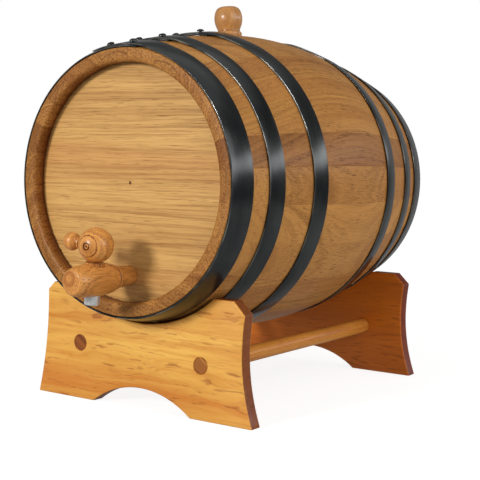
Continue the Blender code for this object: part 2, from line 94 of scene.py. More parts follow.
RIVET_HEAD_HEIGHT = 0.0021
RIVET_RIM = 0.0002

# Staves that are clearly lighter or darker; the others get a tone by chance
STAVE_TONES = {5: 0.15, 6: -0.65, 7: -0.05, 8: 0.3, 9: 0.35, 1: 0.25, 24: -0.3, 21: -0.55}
STAVE_NODES = ["bung_stave"] + [f"stave_{i:02d}" for i in range(1, STAVE_COUNT)]


# -------------------------------- mesh helpers

def link(name, mesh):
    """New object of a mesh, in the scene."""
    piece = bpy.data.objects.new(name, mesh)
    bpy.context.scene.collection.objects.link(piece)
    return piece


def mesh_of(name, shape):
    """Mesh of a bmesh, with its faces turned outward."""
    bmesh.ops.recalc_face_normals(shape, faces=shape.faces)
    mesh = bpy.data.meshes.new(name)
    shape.to_mesh(mesh)
    shape.free()
    return mesh


def skin(name, rings, closed=False):
    """Skins rings of equal length. Closed joins the last to the first; otherwise both ends are capped."""
    shape = bmesh.new()
    rows = [[shape.verts.new(point) for point in ring] for ring in rings]
    pairs = list(zip(rows, rows[1:]))
    if closed:
        pairs.append((rows[-1], rows[0]))
    count = len(rows[0])
    for row, following in pairs:
        for i in range(count):
            j = (i + 1) % count
            shape.faces.new((row[i], row[j], following[j], following[i]))
    if not closed:
        shape.faces.new(rows[0])
        shape.faces.new(rows[-1])
    return mesh_of(name, shape)


def lathe(name, profile, segments):
    """Solid turned about Z from (radius, height) points. A radius of 0 closes to a point."""
    shape = bmesh.new()
    rows = []
    for radius, height in profile:
        if radius < 1e-6:
            rows.append([shape.verts.new((0, 0, height))])
            continue
        turn = [2 * math.pi * i / segments for i in range(segments)]
        rows.append([shape.verts.new((radius * math.cos(a), radius * math.sin(a), height)) for a in turn])
    for row, following in zip(rows, rows[1:]):
        for i in range(segments):
            j = (i + 1) % segments
            corners = [row[i % len(row)], row[j % len(row)], following[j % len(following)],
                       following[i % len(following)]]
            shape.faces.new(list(dict.fromkeys(corners)))
    for row in (rows[0], rows[-1]):
        if len(row) > 1:
            shape.faces.new(row)
    return mesh_of(name, shape)


def ring(name, section, segments):
    """Closed ring turned about Z from a section of (radius, height) points."""
    turn = [2 * math.pi * i / segments for i in range(segments)]
    rings = [[(r * math.cos(a), r * math.sin(a), height) for r, height in section] for a in turn]
    return skin(name, rings, closed=True)


def curve_through(points, steps):
    """Catmull-Rom curve through points of any dimension, ends included."""
    padded = [points[0], *points, points[-1]]
    made = []
    for a, b, c, d in zip(padded, padded[1:], padded[2:], padded[3:]):
        for i in range(steps):
            t = i / steps
            made.append(tuple(0.5 * (2 * q + (r - p) * t + (2 * p - 5 * q + 4 * r - s) * t * t
                                     + (3 * q - p - 3 * r + s) * t ** 3) for p, q, r, s in zip(a, b, c, d)))
    made.append(tuple(points[-1]))
    return made


def arc(centre, radius, start, end, steps):
    """Points on a circle from one angle to another, in degrees."""
    points = []
    for i in range(steps + 1):
        a = math.radians(start + (end - start) * i / steps)
        points.append((centre[0] + radius * math.cos(a), centre[1] + radius * math.sin(a)))
    return points


def turned_to(direction, location):
    """Matrix that lays a shape turned about Z along a direction, at a place."""
    return Matrix.Translation(location) @ Vector(direction).to_track_quat("Z", "Y").to_matrix().to_4x4()


def rolled(location, angle):
    """Matrix of a frame at a place, rolled about Y."""
    return Matrix.Translation(location) @ Matrix.Rotation(angle, 4, "Y")


def boolean(piece, tool):
    """Cuts a piece with a tool solid, applies the cut and removes the tool."""
    modifier = piece.modifiers.new("cut", "BOOLEAN")
    modifier.operation = "DIFFERENCE"
    modifier.solver = "EXACT"
    modifier.object = tool
    apply_modifiers(piece)
    bpy.data.objects.remove(tool, do_unlink=True)


def apply_modifiers(piece):
    """Replaces a piece's mesh with what its modifiers make of it."""
    graph = bpy.context.evaluated_depsgraph_get()
    made = bpy.data.meshes.new_from_object(piece.evaluated_get(graph))
    piece.modifiers.clear()
    piece.data = made


def round_edges(piece, width, segments, angle):
    """Rounds the piece's sharp edges."""
    modifier = piece.modifiers.new("round", "BEVEL")
    modifier.width = width
    modifier.segments = segments
    modifier.limit_method = "ANGLE"
    modifier.angle_limit = math.radians(angle)
    apply_modifiers(piece)


def set_grain(mesh, mapping, seed):
    """Stores the wood's own coordinates at each point: along the grain, then two across it from the pith."""
    start = random.Random(seed).uniform(0.0, 3.0)
    values = []
    for vertex in mesh.vertices:
        along, across, depth = mapping(vertex.co)
        values.extend((along + start, across, depth))
    grain = mesh.attributes.new("grain", "FLOAT_VECTOR", "POINT")
    grain.data.foreach_set("vector", values)


def set_number(mesh, name, number):
    """Stores a number at each point: a function of the point, or one value."""
    values = [number(vertex.co) if callable(number) else number for vertex in mesh.vertices]
    mesh.attributes.new(name, "FLOAT", "POINT").data.foreach_set("value", values)


def set_wood(mesh, mapping, seed, tone, dark_wood_and_painted_shade):
    """Stores all that the wood material reads at a mesh's points."""
    set_grain(mesh, mapping, seed)
    set_number(mesh, "tone", tone)
    set_number(mesh, "dark_wood_and_painted_shade", dark_wood_and_painted_shade)


def finish_piece(piece, body, nodes, material, smooth=35):
    """Shades a piece, gives it its material, and puts it on its body in place of its CAD nodes."""
    piece.data.materials.clear()
    piece.data.materials.append(material)
    piece.data.shade_smooth()
    piece.data.set_sharp_from_angle(angle=math.radians(smooth))
    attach(piece, body)
    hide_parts(*nodes)


# -------------------------------- material helpers

class Nodes:
    """Short calls for building one material's node tree."""

    def __init__(self, name):
        self.material = bpy.data.materials.new(name)
        self.material.use_nodes = True
        self.tree = self.material.node_tree
        self.shader = self.tree.nodes["Principled BSDF"]

    def add(self, kind, **settings):
        node = self.tree.nodes.new(kind)
        for key, value in settings.items():
            setattr(node, key, value)
        return node

    def join(self, value, socket):
        """Feeds a socket with another node's output or with a plain value."""
        if isinstance(value, bpy.types.NodeSocket):
            self.tree.links.new(value, socket)
        elif value is not None:
            socket.default_value = value

    def attribute(self, name, output="Vector"):
        return self.add("ShaderNodeAttribute", attribute_name=name).outputs[output]

    def vector_math(self, operation, a, b=None, output="Vector"):
        node = self.add("ShaderNodeVectorMath", operation=operation)
        self.join(a, node.inputs[0])
        self.join(b, node.inputs[1])
        return node.outputs[output]

    def scale(self, vector, factors):
        return self.vector_math("MULTIPLY", vector, factors)

    def add_vectors(self, a, b):
        return self.vector_math("ADD", a, b)

    def length(self, vector):
        return self.vector_math("LENGTH", vector, output="Value")

    def split(self, vector):
        node = self.add("ShaderNodeSeparateXYZ")
        self.join(vector, node.inputs[0])
        return node.outputs

    def combine(self, x, y, z):
        node = self.add("ShaderNodeCombineXYZ")
        for value, socket in zip((x, y, z), node.inputs):
            self.join(value, socket)
        return node.outputs[0]

    def noise(self, vector, detail=2.0, roughness=0.5, output="Fac"):
        node = self.add("ShaderNodeTexNoise", noise_dimensions="3D")
        self.join(vector, node.inputs["Vector"])
        node.inputs["Scale"].default_value = 1.0
        node.inputs["Detail"].default_value = detail
        node.inputs["Roughness"].default_value = roughness
        return node.outputs[output]

    def math(self, operation, a, b=None, c=None, clamp=False):
        node = self.add("ShaderNodeMath", operation=operation, use_clamp=clamp)
        for value, socket in zip((a, b, c), node.inputs):
            self.join(value, socket)
        return node.outputs[0]

    def ramp(self, value, low, high, smooth=True):
        """0 below low and 1 above high."""
        kind = "SMOOTHSTEP" if smooth else "LINEAR"
        node = self.add("ShaderNodeMapRange", interpolation_type=kind, clamp=True)
        self.join(value, node.inputs["Value"])
        node.inputs["From Min"].default_value = low
        node.inputs["From Max"].default_value = high
        return node.outputs["Result"]

    def mix(self, factor, a, b, blend="MIX"):
        node = self.add("ShaderNodeMix", data_type="RGBA", blend_type=blend)
        self.join(factor, node.inputs[0])
        self.join(self.colour(a), node.inputs[6])
        self.join(self.colour(b), node.inputs[7])
        return node.outputs[2]

    @staticmethod
    def colour(value):
        return (*value, 1.0) if isinstance(value, tuple) and len(value) == 3 else value

    def bump(self, height, strength, distance):
        node = self.add("ShaderNodeBump")
        node.inputs["Strength"].default_value = strength
        node.inputs["Distance"].default_value = distance
        self.join(height, node.inputs["Height"])
        return node.outputs["Normal"]

    def set(self, **values):
        """Feeds the shader's sockets; an underscore stands for a space."""
        for key, value in values.items():
            self.join(self.colour(value), self.shader.inputs[key.replace("_", " ")])


def srgb(red, green, blue):
    """Linear colour from 0 to 255 display values."""
    return tuple((v / 255 / 12.92) if v / 255 <= 0.04045 else ((v / 255 + 0.055) / 1.055) ** 2.4
                 for v in (red, green, blue))


def wood(name, light, dark, pore, ring_scale=420.0, contrast=0.8, fibres=0.4, wave=0.0012, blotch=0.3,
         tint=None, tint_share=0.3, pores=0.4, pore_size=(150.0, 2600.0), flecks=0.0, gloss=0.42, coat=0.2,
         specular=0.3):
    """Lacquered wood, solid through the piece: growth rings round the pith, fibres, pores and ray flecks.

    Each point's grain attribute gives metres along and across the grain, so a board's end shows its rings.
    The tone attribute makes a piece lighter or darker, and a second attribute darkens and mottles places:
    end grain and sawn edges by their own darker colour, and grooves, holes and the croze as painted shade.
    ring_scale and pore_size are frequencies per metre, wave is how far the rings wander in metres, and the
    other numbers are shares from 0 to 1.
    """
    n = Nodes(name)
    grain = n.attribute("grain")
    bend = n.noise(n.scale(grain, (7.0, 40.0, 40.0)), output="Color")
    bent = n.add_vectors(grain, n.scale(n.add_vectors(bend, (-0.5, -0.5, -0.5)), (0.0, wave * 4, wave * 4)))
    ripple = n.noise(n.scale(grain, (40.0, 200.0, 200.0)), output="Color")
    bent = n.add_vectors(bent, n.scale(n.add_vectors(ripple, (-0.5, -0.5, -0.5)), (0.0, wave, wave)))
    along = n.split(bent)[0]
    radius = n.length(n.scale(bent, (0.0, 1.0, 1.0)))

    def rings_at(stretch, scale):
        across = n.math("MULTIPLY", radius, scale)
        return n.noise(n.combine(n.math("MULTIPLY", along, stretch), across, scale))

    broad = n.ramp(rings_at(3.0, ring_scale * 0.25), 0.40, 0.66)
    clear = n.ramp(rings_at(7.0, ring_scale), 0.42, 0.66)
    fine = n.ramp(rings_at(20.0, ring_scale * 2.7), 0.45, 0.72)
    strands = n.ramp(n.noise(n.scale(bent, (12.0, 1300.0, 1300.0)), roughness=0.6), 0.46, 0.74)
    lines = n.math("ADD", n.math("MULTIPLY", broad, 0.35), n.math("MULTIPLY", clear, 0.45))
    lines = n.math("ADD", lines, n.math("MULTIPLY", fine, 0.30))
    lines = n.math("ADD", lines, n.math("MULTIPLY", strands, fibres))
    lines = n.math("MULTIPLY", lines, contrast, clamp=True)
    colour = n.mix(lines, light, dark)

    patches = n.noise(n.scale(grain, (9.0, 28.0, 28.0)), detail=3.0)
    colour = n.mix(n.math("MULTIPLY", n.ramp(patches, 0.35, 0.7), blotch), colour, n.mix(0.6, light, dark))
    if tint:
        share = n.math("MULTIPLY", n.ramp(rings_at(2.0, ring_scale * 0.12), 0.48, 0.68), tint_share)
        colour = n.mix(share, colour, tint)

    cell = n.noise(n.scale(bent, (pore_size[0], pore_size[1], pore_size[1])), detail=1.0)
    rows = n.ramp(rings_at(8.0, ring_scale * 0.7), 0.38, 0.60)
    hollow = n.math("MULTIPLY", n.ramp(cell, 0.57, 0.70), rows)
    colour = n.mix(n.math("MULTIPLY", hollow, pores), colour, pore)
    if flecks:
        rays = n.ramp(n.noise(n.scale(bent, (150.0, 500.0, 900.0))), 0.58, 0.72)
        colour = n.mix(n.math("MULTIPLY", rays, flecks), colour, light)

    tone = n.attribute("tone", "Fac")
    darker = n.ramp(tone, 0.0, -1.0, smooth=False)
    lighter = n.ramp(tone, 0.0, 1.0, smooth=False)
    colour = n.mix(n.math("MULTIPLY", darker, 0.7), colour, n.mix(1.0, colour, dark, "MULTIPLY"))
    colour = n.mix(n.math("MULTIPLY", lighter, 0.6), colour, light)
    # Darker towards (0.29, 0.15, 0.08): the own darker colour of end grain and edges, and painted shade in
    # grooves, holes and the croze.
    mottle = n.ramp(n.noise(n.scale(grain, (500.0, 700.0, 700.0)), detail=2.0), 0.38, 0.62)
    dark_wood_and_painted_shade = n.math("POWER", n.attribute("dark_wood_and_painted_shade", "Fac"), n.math("MULTIPLY_ADD", mottle, 1.8, 0.4))
    colour = n.mix(dark_wood_and_painted_shade, colour, n.mix(1.0, colour, (0.29, 0.15, 0.08), "MULTIPLY"))

    shine = n.math("ADD", n.math("MULTIPLY", patches, 0.16), gloss - 0.08)
    shine = n.math("ADD", shine, n.math("MULTIPLY", hollow, 0.2), clamp=True)
    height = n.math("SUBTRACT", n.math("MULTIPLY", lines, -0.35), hollow)
    n.set(Base_Color=colour, Roughness=shine, Coat_Weight=coat, Coat_Roughness=0.22,
          Specular_IOR_Level=specular, Normal=n.bump(height, 0.3, 0.0002))
    return n.material


def blackened_steel(name):
    """Strip steel with a dark blue-black finish: brushed along the strip, paler where its edges are worn,
    and that paler edge is also a painted highlight along the hoops' outer edges.
    """
    n = Nodes(name)
    grain = n.attribute("grain")
    brush = n.noise(n.scale(grain, (10.0, 1500.0, 1500.0)), detail=3.0, roughness=0.6)
    cloud = n.noise(n.scale(grain, (26.0, 60.0, 60.0)), detail=4.0, roughness=0.6)
    chips = n.ramp(n.noise(n.scale(grain, (50.0, 300.0, 300.0))), 0.4, 0.7)
    wear_and_edge_highlight = n.math("MULTIPLY", n.attribute("wear_and_edge_highlight", "Fac"), chips)
    colour = n.mix(n.ramp(cloud, 0.35, 0.7), srgb(48, 50, 51), srgb(64, 66, 66))
    colour = n.mix(n.math("MULTIPLY", n.ramp(brush, 0.5, 0.75), 0.3), colour, srgb(84, 86, 85))
    colour = n.mix(wear_and_edge_highlight, colour, srgb(168, 166, 158))
    rough = n.math("ADD", n.math("MULTIPLY", brush, 0.14), 0.12)
    rough = n.math("ADD", rough, n.math("MULTIPLY", cloud, 0.06))
    n.set(Base_Color=colour, Roughness=rough, Metallic=0.75, Specular_IOR_Level=0.5,
          Normal=n.bump(brush, 0.08, 0.00005))
    return n.material


def bright_steel(name):
    """Turned stainless tube with fine marks round it."""
    n = Nodes(name)
    grain = n.attribute("grain")
    marks = n.noise(n.scale(grain, (1800.0, 60.0, 60.0)), detail=3.0, roughness=0.6)
    stain = n.noise(n.scale(grain, (120.0, 120.0, 120.0)), detail=3.0, roughness=0.6)
    colour = n.mix(n.ramp(stain, 0.4, 0.75), srgb(226, 228, 228), srgb(176, 178, 180))
    n.set(Base_Color=colour, Metallic=0.6, Roughness=n.math("ADD", 0.16, n.math("MULTIPLY", marks, 0.2)),
          Normal=n.bump(marks, 0.15, 0.0001))
    return n.material


def make_materials():
    """All of the object's materials, by name."""
    made = {}
    made["stave"] = wood(
        "stave_wood", srgb(206, 147, 77), srgb(142, 90, 39), srgb(88, 50, 22), ring_scale=430.0,
        contrast=0.9, fibres=0.65, wave=0.0009, blotch=0.35, tint=srgb(160, 96, 44), tint_share=0.35,
        pores=0.75, pore_size=(85.0, 1400.0), flecks=0.45, coat=0.05, specular=0.16)
    made["head"] = wood(
        "head_wood", srgb(222, 174, 102), srgb(156, 106, 50), srgb(128, 78, 34), ring_scale=520.0,
        fibres=0.5, wave=0.0014, blotch=0.2, tint=srgb(196, 128, 70), tint_share=0.35, pores=0.5,
        pore_size=(60.0, 1300.0), coat=0.04, gloss=0.5)
    made["tap"] = wood(
        "tap_wood", srgb(244, 172, 88), srgb(158, 92, 36), srgb(84, 46, 18), ring_scale=500.0, contrast=0.9,
        fibres=0.6, pores=0.75, pore_size=(90.0, 1500.0), coat=0.25, gloss=0.36)
    made["bung"] = wood(
        "bung_wood", srgb(206, 150, 88), srgb(156, 102, 50), srgb(110, 66, 30), coat=0.35, gloss=0.3)
    made["board"] = wood(
        "board_wood", srgb(248, 192, 92), srgb(206, 126, 40), srgb(150, 72, 20), ring_scale=150.0,
        contrast=1.0, fibres=0.25, wave=0.0055, blotch=0.65, tint=srgb(204, 108, 28), tint_share=0.75,
        pores=0.6, pore_size=(48.0, 400.0), coat=0.15, gloss=0.45)
    # Darker and redder copy of the board wood: partly the board's own colour, partly painted shade under the
    # barrel.
    made["rear_board"] = wood(
        "rear_board_wood_with_painted_shade", srgb(216, 116, 26), srgb(160, 74, 12), srgb(96, 42, 12), ring_scale=150.0,
        contrast=0.6, fibres=0.25, wave=0.003, blotch=0.5, pore_size=(50.0, 420.0), coat=0.1, gloss=0.45)
    made["rail"] = wood(
        "rail_wood", srgb(224, 152, 62), srgb(172, 98, 32), srgb(116, 62, 20), ring_scale=500.0,
        contrast=0.85, blotch=0.35, coat=0.1, gloss=0.45)
    made["steel"] = blackened_steel("hoop_steel")
    made["bright"] = bright_steel("spout_steel")
    return made


# -------------------------------- barrel

def outer_radius(y):
    """The barrel's outer radius at a distance from mid-barrel."""
    reach = y / HALF_LENGTH
    share = (math.hypot(reach, BEND) - BEND) / (math.hypot(1, BEND) - BEND)
    return BILGE_RADIUS - (BILGE_RADIUS - CHIME_RADIUS) * share


def on_barrel(radius, angle, y):
    """Point at a radius, an angle from the bung and a distance from mid-barrel.

    Angles run clockwise as seen from the front.
    """
    a = angle + BARREL_TURN
    return BARREL_CENTRE + Vector((radius * math.sin(a), y, radius * math.cos(a)))


def barrel_coordinates(point):
    """(distance from mid-barrel, angle from the bung, radius) of a point."""
    p = point - BARREL_CENTRE
    angle = math.atan2(p.x, p.z) - BARREL_TURN
    return p.y, (angle + math.pi) % (2 * math.pi) - math.pi, math.hypot(p.x, p.z)


def stave_spans():
    """Start and end angle of each stave, the bung's first."""
    shares = [1 + STAVE_VARIATION * math.sin(0.66 * i + 1.7) for i in range(STAVE_COUNT)]
    unit = 2 * math.pi / sum(shares)
    angle = -shares[0] * unit / 2
    spans = []
    for share in shares:
        spans.append((angle, angle + share * unit))
        angle += share * unit
    return spans


def stave_section():
    """Outline of a stave in (y, radius): bent outer face, rounded chime, croze groove and inner face."""
    outer_round = 0.0012
    inner_wall = 0.8 * HALF_LENGTH
    groove = CHIME_INNER_RADIUS + CROZE_DEPTH
    near = HEAD_FACE + GAP
    far = HEAD_FACE - TONGUE_THICKNESS - GAP
    half = [(0.985 * HALF_LENGTH * i / 26, outer_radius(0.985 * HALF_LENGTH * i / 26)) for i in range(27)]
    tip = outer_radius(HALF_LENGTH)
    half += arc((HALF_LENGTH - outer_round, tip - outer_round), outer_round, 80, 0, 4)
    inner_corner = (HALF_LENGTH - CHIME_ROUNDING, CHIME_INNER_RADIUS + CHIME_ROUNDING)
    half += arc(inner_corner, CHIME_ROUNDING, 0, -90, 8)
    half += [(near + 0.0008, CHIME_INNER_RADIUS), (near, CHIME_INNER_RADIUS + 0.0006), (near, groove),
             (far, groove), (far, outer_radius(far) - STAVE_THICKNESS)]
    half += [(inner_wall * (1 - i / 12), outer_radius(inner_wall * (1 - i / 12)) - STAVE_THICKNESS)
             for i in range(13)]
    mirrored = [(-y, radius) for y, radius in half[::-1]]
    return half + mirrored[1:-1]


def stave_mesh(name, start, end):
    """One stave whose long edges are eased a little where it meets its neighbours."""
    half_gap = SEAM / 2 / BILGE_RADIUS
    start += half_gap
    end -= half_gap
    eased = ((0.0, 0.00012), (0.0001, 0.00005), (0.0003, 0.00001), (0.0008, 0.0))
    stations = [(start + inset / BILGE_RADIUS, drop) for inset, drop in eased]
    stations += [(start + (end - start) * i / 8, 0.0) for i in range(1, 8)]
    stations += [(end - inset / BILGE_RADIUS, drop) for inset, drop in reversed(eased)]
    section = stave_section()
    rings = []
    for angle, drop in stations:
        rings.append([on_barrel(radius - drop * (radius > CHIME_INNER_RADIUS + 0.004), angle, y)
                      for y, radius in section])
    return skin(name, rings)


def stave_end_grain_and_painted_shade(point):
    """How dark a stave's surface is: its sawn end a little by its own colour; the chime's inner wall more
    and the croze most, as painted shade that deepens with depth.
    """
    y, _, radius = barrel_coordinates(point)
    depth = HALF_LENGTH - abs(y)
    if depth < CHIME_ROUNDING * 0.4 and radius < outer_radius(HALF_LENGTH) - 0.0002:
        return 0.3
    if radius > CHIME_INNER_RADIUS + 0.0065:
        return 0.0
    # Painted shade on the chime's inner wall, deepening into the croze.
    return min(1.0, 0.3 + 0.7 * max(0.0, depth - 0.005) / 0.006)


def make_staves(materials):
    """Every stave, each with its own run of grain and its own tone."""
    for i, (start, end) in enumerate(stave_spans()):
        node = STAVE_NODES[i]
        piece = link(f"fine_{node}", stave_mesh(node, start, end))
        if i == 0:
            drill_bung_hole(piece)
        draw = random.Random(100 + i)
        middle = (start + end) / 2
        lean = draw.uniform(-0.35, 0.35)
        tone = STAVE_TONES.get(i, draw.uniform(-0.35, 0.3))

        def mapping(point, middle=middle, lean=lean):
            y, angle, radius = barrel_coordinates(point)
            across = ((angle - middle + math.pi) % (2 * math.pi) - math.pi) * BILGE_RADIUS
            return y, across + 0.03, radius - BILGE_RADIUS + 0.10 + 2 * lean * across

        set_wood(piece.data, mapping, 100 + i, tone, stave_end_grain_and_painted_shade)
        finish_piece(piece, "barrel", [node], materials["stave"], 40)


def drill_bung_hole(piece):
    """Tapered hole through the bung stave, by radius and distance from the barrel's axis."""
    tool = lathe("bung_hole", ((0.0106, 0.100), (0.0125, 0.150)), 64)
    tool.transform(rolled(BARREL_CENTRE, BARREL_TURN))
    boolean(piece, link("bung_hole", tool))


# -------------------------------- heads

def band_outline(radius, low, high):
    """Outline of the part of a circle between two heights, with its round sides as arcs."""
    low = max(low, -radius * 0.9999)
    high = min(high, radius * 0.9999)
    bottom = math.degrees(math.asin(low / radius))
    top = math.degrees(math.asin(high / radius))
    return arc((0, 0), radius, bottom, top, 40) + arc((0, 0), radius, 180 - top, 180 - bottom, 40)


def head_board(name, low, high, side):
    """One board of a head: face, tongue in the croze, and a bevel inside."""
    tongue = CHIME_INNER_RADIUS + CROZE_DEPTH - GAP
    clear = CHIME_INNER_RADIUS - 0.001
    end = clear - HEAD_THICKNESS + TONGUE_THICKNESS
    low += SEAM / 2
    high -= SEAM / 2
    sections = ((clear, 0.0, HEAD_FACE_EASING), (tongue, 0.0, 0.0), (tongue, TONGUE_THICKNESS, 0.0),
                (clear, TONGUE_THICKNESS, 0.0), (end, HEAD_THICKNESS, 0.0))
    rings = []
    for radius, depth, inset in sections:
        y = BARREL_CENTRE.y + side * (HEAD_FACE - depth)
        outline = band_outline(radius, low + inset, high - inset)
        rings.append([(x, y, BARREL_CENTRE.z + z) for x, z in outline])
    return skin(name, rings)


def make_head(materials, end, side, tones):
    """The three boards of one head."""
    edges = (-CHIME_RADIUS, *HEAD_SEAMS, CHIME_RADIUS)
    for i, place in enumerate(("lower", "middle", "upper")):
        node = f"{end}_head_{place}"
        piece = link(f"fine_{node}", head_board(node, edges[i], edges[i + 1], side))
        if node == "front_head_lower":
            drill_tap_hole(piece)
        if node == "front_head_middle":
            mark_centre(piece)
        set_wood(piece.data, head_grain, 300 + i + side, tones[i], head_painted_shade)
        finish_piece(piece, "barrel", [node], materials["head"], 30)


def head_grain(point):
    """A head's grain runs across it, from a pith below its lowest board."""
    return point.x, point.z - BARREL_CENTRE.z + HEAD_PITH_DROP, point.y - BARREL_CENTRE.y


def head_painted_shade(point):
    """Painted shade in the centre mark and where the head goes into the croze, none elsewhere."""
    from_centre = math.hypot(point.x - BARREL_CENTRE.x, point.z - BARREL_CENTRE.z)
    depth = HEAD_FACE - abs(point.y - BARREL_CENTRE.y)
    return 1.0 if from_centre > CHIME_INNER_RADIUS or (depth > 0.0006 and from_centre < 0.003) else 0.0


def mark_centre(piece):
    """Small conical centre hole."""
    tool = lathe("centre_mark", ((0, -0.0016), (0.0013, -0.0008), (0.0014, 0.002)), 24)
    tool.transform(turned_to((0, -1, 0), BARREL_CENTRE - Vector((0, HEAD_FACE, 0))))
    boolean(piece, link("centre_mark", tool))


def tap_origin():
    """Where the tap's axis meets the front head's face."""
    return Vector((0, BARREL_CENTRE.y - HEAD_FACE, KEY_POINT.z))


def shank_radius(d):
    """The tap's tail radius at a distance in front of the head's face."""
    return SHANK_RADIUS + SHANK_TAPER * d


def drill_tap_hole(piece):
    """Tapered hole for the tap's tail."""
    low, high = -0.018, 0.004
    profile = [(shank_radius(d) + TAP_CLEARANCE, d) for d in (low, high)]
    tool = lathe("tap_hole", profile, 64)
    tool.transform(turned_to((0, -1, 0), tap_origin()))
    boolean(piece, link("tap_hole", tool))


# -------------------------------- hoops

def hoop_ring(angle, low, high, rise):
    """Section of the strip at an angle: flat inside, edges rounded outside."""
    r = HOOP_EDGE_ROUNDING
    points = [(low, 0.0), (high, 0.0)]
    points += arc((high - r, HOOP_THICKNESS - r), r, 0, 90, 3)
    points += [((low + high) / 2, HOOP_THICKNESS)]
    points += arc((low + r, HOOP_THICKNESS - r), r, 90, 180, 3)
    base_low, base_high = outer_radius(low), outer_radius(high)
    made = []
    for y, out in points:
        share = (y - low) / (high - low)
        made.append(on_barrel(base_low + (base_high - base_low) * share + rise + out, angle, y))
    return made


def hoop_mesh(name, low, high):
    """Strip bent round the barrel, its second end over its first. The outer end is on the left."""
    segments = 192
    start = LAP_ANGLE / 2
    sweep = 2 * math.pi + LAP_ANGLE
    count = round(segments * sweep / (2 * math.pi))
    climb_start = 2 * math.pi - CLIMB_ANGLE - CLIMB_MARGIN
    rings = []
    for i in range(count + 1):
        turn = sweep * i / count
        share = min(max((turn - climb_start) / CLIMB_ANGLE, 0.0), 1.0)
        share = share * share * (3 - 2 * share)
        rise = HOOP_CLEARANCE + share * (HOOP_THICKNESS + GAP)
        rings.append(hoop_ring(start - turn, low, high, rise))
    return skin(name, rings)


def rivet_matrix(y, angle):
    """Place of a rivet, Z outward and square to the hoop."""
    step = 0.0005
    slope = (outer_radius(y + step) - outer_radius(y - step)) / (2 * step)
    a = angle + BARREL_TURN
    return turned_to((math.sin(a), -slope, math.cos(a)), on_barrel(outer_radius(y), angle, y))


def rivet_mesh(name, draw):
    """Domed head, slightly uneven as a hammered rivet is."""
    seat = HOOP_CLEARANCE + 2 * (HOOP_THICKNESS + GAP)
    rim = seat + RIVET_RIM
    profile = [(0, HOOP_CLEARANCE), (RIVET_SHANK_RADIUS, HOOP_CLEARANCE), (RIVET_SHANK_RADIUS, seat),
               (RIVET_HEAD_RADIUS - RIVET_RIM, seat), (RIVET_HEAD_RADIUS, rim)]
    for degrees in (15, 30, 45, 60, 72, 82):
        a = math.radians(degrees)
        rise = (RIVET_HEAD_HEIGHT - RIVET_RIM) * math.sin(a)
        profile.append((RIVET_HEAD_RADIUS * math.cos(a) ** 0.8, rim + rise))
    profile.append((0, seat + RIVET_HEAD_HEIGHT))
    mesh = lathe(name, profile, 32)
    for vertex in mesh.vertices:
        if vertex.co.z > rim + 0.0001:
            vertex.co.x += draw.uniform(-0.00005, 0.00005)
            vertex.co.z += draw.uniform(-0.00005, 0.00002)
    return mesh


def make_hoop(materials, name, low, high, seed):
    """One hoop and its two rivets, with the rivets' holes through both layers."""
    node = f"{name}_hoop"
    piece = link(f"fine_{node}", hoop_mesh(node, low, high))
    middle = (low + high) / 2
    draw = random.Random(seed)
    for side, angle in (("left", -RIVET_ANGLE), ("right", RIVET_ANGLE)):
        place = rivet_matrix(middle, angle)
        hole = lathe("rivet_hole", ((RIVET_HOLE_RADIUS, -0.001), (RIVET_HOLE_RADIUS, 0.006)), 24)
        hole.transform(place)
        boolean(piece, link("rivet_hole", hole))
        rivet_node = f"{name}_rivet_{side}"
        mesh = rivet_mesh(rivet_node, draw)
        set_grain(mesh, lambda p: (p.x, p.y, p.z), draw.randrange(10000))
        mesh.transform(place)
        set_number(mesh, "wear_and_edge_highlight", 0.15)
        rivet = link(f"fine_{rivet_node}", mesh)
        finish_piece(rivet, "barrel", [rivet_node], materials["steel"], 50)

    def mapping(point):
        y, angle, radius = barrel_coordinates(point)
        return angle * 0.12, y, radius

    # Paler outer edges: wear, and a painted highlight standing in for bright lines along the hoops' edges.
    def wear_and_edge_highlight(point):
        y, _, radius = barrel_coordinates(point)
        from_edge = min(abs(y - low), abs(y - high))
        return 0.6 if from_edge < 0.0002 and radius > outer_radius(y) + HOOP_CLEARANCE + 0.0006 else 0.0

    set_grain(piece.data, mapping, seed)
    set_number(piece.data, "wear_and_edge_highlight", wear_and_edge_highlight)
    finish_piece(piece, "barrel", [node], materials["steel"], 45)


def make_hoops(materials):
    """Chime, quarter and bilge hoop at each end."""
    for i, (kind, (outer_edge, inner_edge)) in enumerate(zip(("chime", "quarter", "bilge"), HOOP_EDGES)):
        make_hoop(materials, f"front_{kind}", -outer_edge, -inner_edge, 500 + i)
        make_hoop(materials, f"rear_{kind}", inner_edge, outer_edge, 600 + i)


# -------------------------------- bung

def make_bung(materials):
    """Turned bung with a tapered plug, a collar and a rounded head."""
    seat = BILGE_RADIUS
    plug = [(0, -0.0200), (0.0098, -0.0200), (0.0104, -0.0195), (0.0116, 0.0)]
    collar = curve_through([(0.0118, 0.0015), (0.0121, 0.0030), (0.0118, 0.0045), (0.0108, 0.0056)], 4)
    head = curve_through([(0.0103, 0.0060), (0.0104, 0.0070), (0.0113, 0.0095), (0.0126, 0.0130),
                          (0.0132, 0.0170), (0.0130, 0.0205), (0.0121, 0.0242), (0.0103, 0.0272),
                          (0.0080, 0.0286)], 5)
    profile = [(r, seat + h) for r, h in plug + collar + head + [(0.004, 0.0290), (0, 0.0290)]]
    mesh = lathe("bung", profile, 64)
    mesh.transform(rolled(BARREL_CENTRE, BARREL_TURN))

    # Painted shade in the crease between the collar and the head.
    def dark_wood_and_painted_shade(point):
        height = (point - BARREL_CENTRE).dot(BUNG_AXIS) - seat
        return 0.6 if 0.0054 < height < 0.0066 else 0.0

    set_wood(mesh, lambda p: (p.z, p.x, p.y), 700, -0.1, dark_wood_and_painted_shade)
    finish_piece(link("fine_bung", mesh), "bung", ["bung"], materials["bung"], 40)


# -------------------------------- tap

